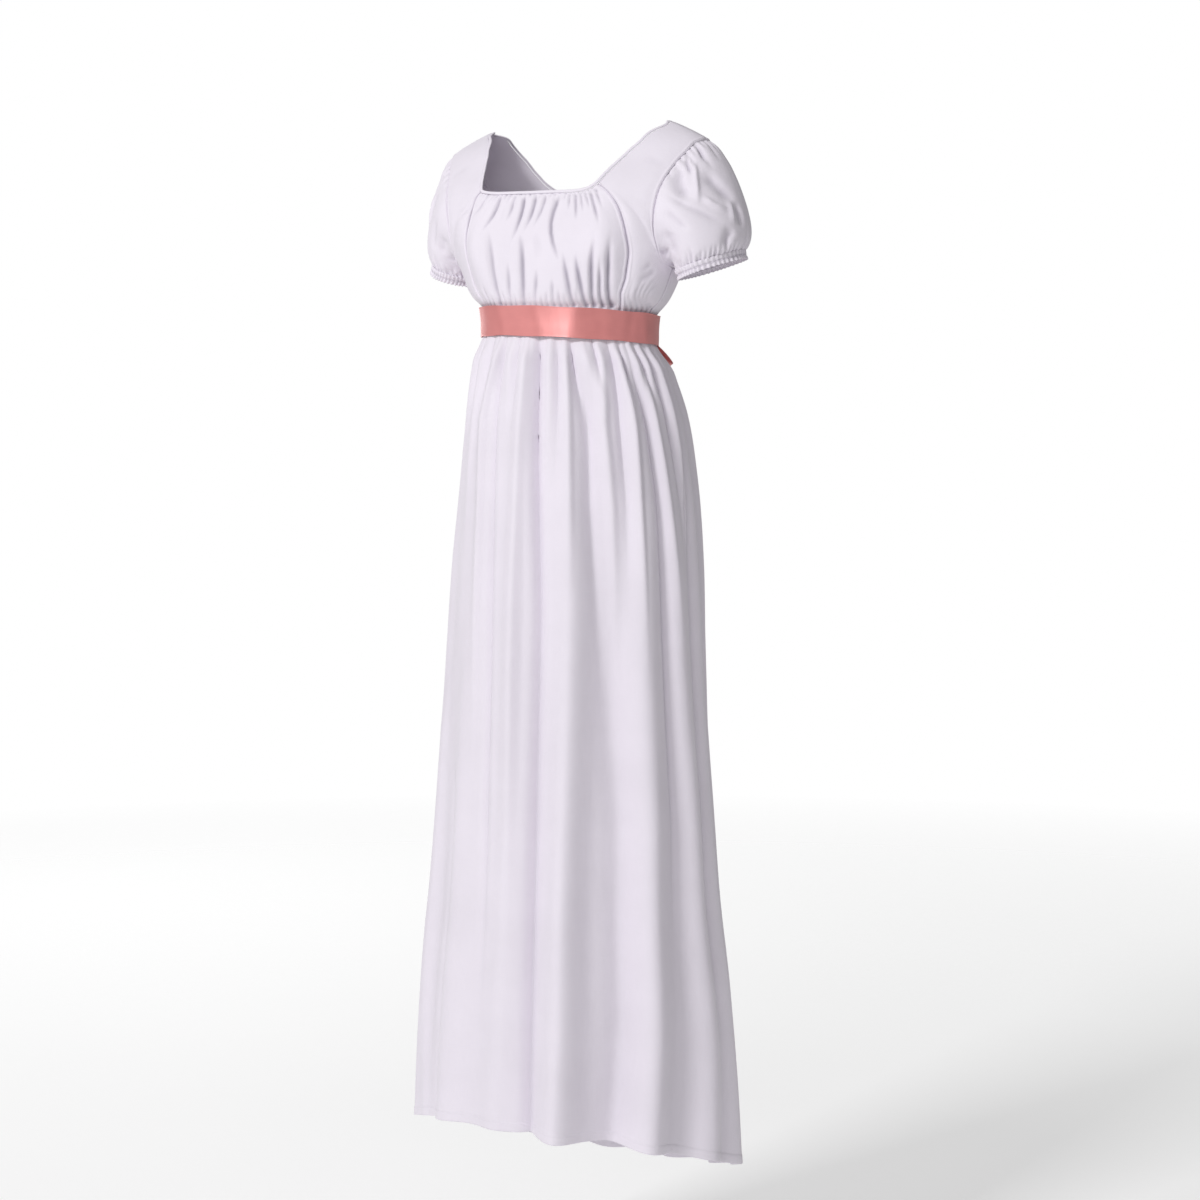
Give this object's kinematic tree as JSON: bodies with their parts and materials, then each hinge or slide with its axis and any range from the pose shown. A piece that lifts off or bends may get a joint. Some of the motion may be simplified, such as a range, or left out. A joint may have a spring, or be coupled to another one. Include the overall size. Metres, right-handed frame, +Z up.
{
  "type": "regency gown",
  "caption": "High-waisted gown with a gathered square-necked bodice, puff sleeves, a long gathered skirt hanging in folds, and a ribbon sash tied in a bow behind.",
  "frame": {"origin": "between the shoulder seams, level with their highest point, where the wearer's shoulders hold the gown", "axes": "+Z up, -Y the way the wearer faces, +X towards the wearer's left"},
  "size_m": [0.4804, 0.4306, 1.4308],
  "materials": {
    "white_cloth": "smooth white cloth with a soft sheen",
    "binding_cloth": "the same cloth folded into a narrow binding",
    "ribbon_satin": "salmon pink satin ribbon"
  },
  "bodies": {
    "root": {"bodice_centre_front": "white_cloth", "bodice_side_left": "white_cloth", "bodice_side_right": "white_cloth", "bodice_back_left": "white_cloth", "bodice_back_right": "white_cloth", "neck_binding": "binding_cloth", "sleeve_left": "white_cloth", "sleeve_right": "white_cloth", "cuff_left": "white_cloth", "cuff_right": "white_cloth", "skirt_front_left": "white_cloth", "skirt_front_right": "white_cloth", "skirt_back_left": "white_cloth", "skirt_back_right": "white_cloth", "sash": "ribbon_satin", "bow_knot": "ribbon_satin", "bow_loop_left": "ribbon_satin", "bow_loop_right": "ribbon_satin", "bow_tail_left": "ribbon_satin", "bow_tail_right": "ribbon_satin"}
  },
  "joints": []
}
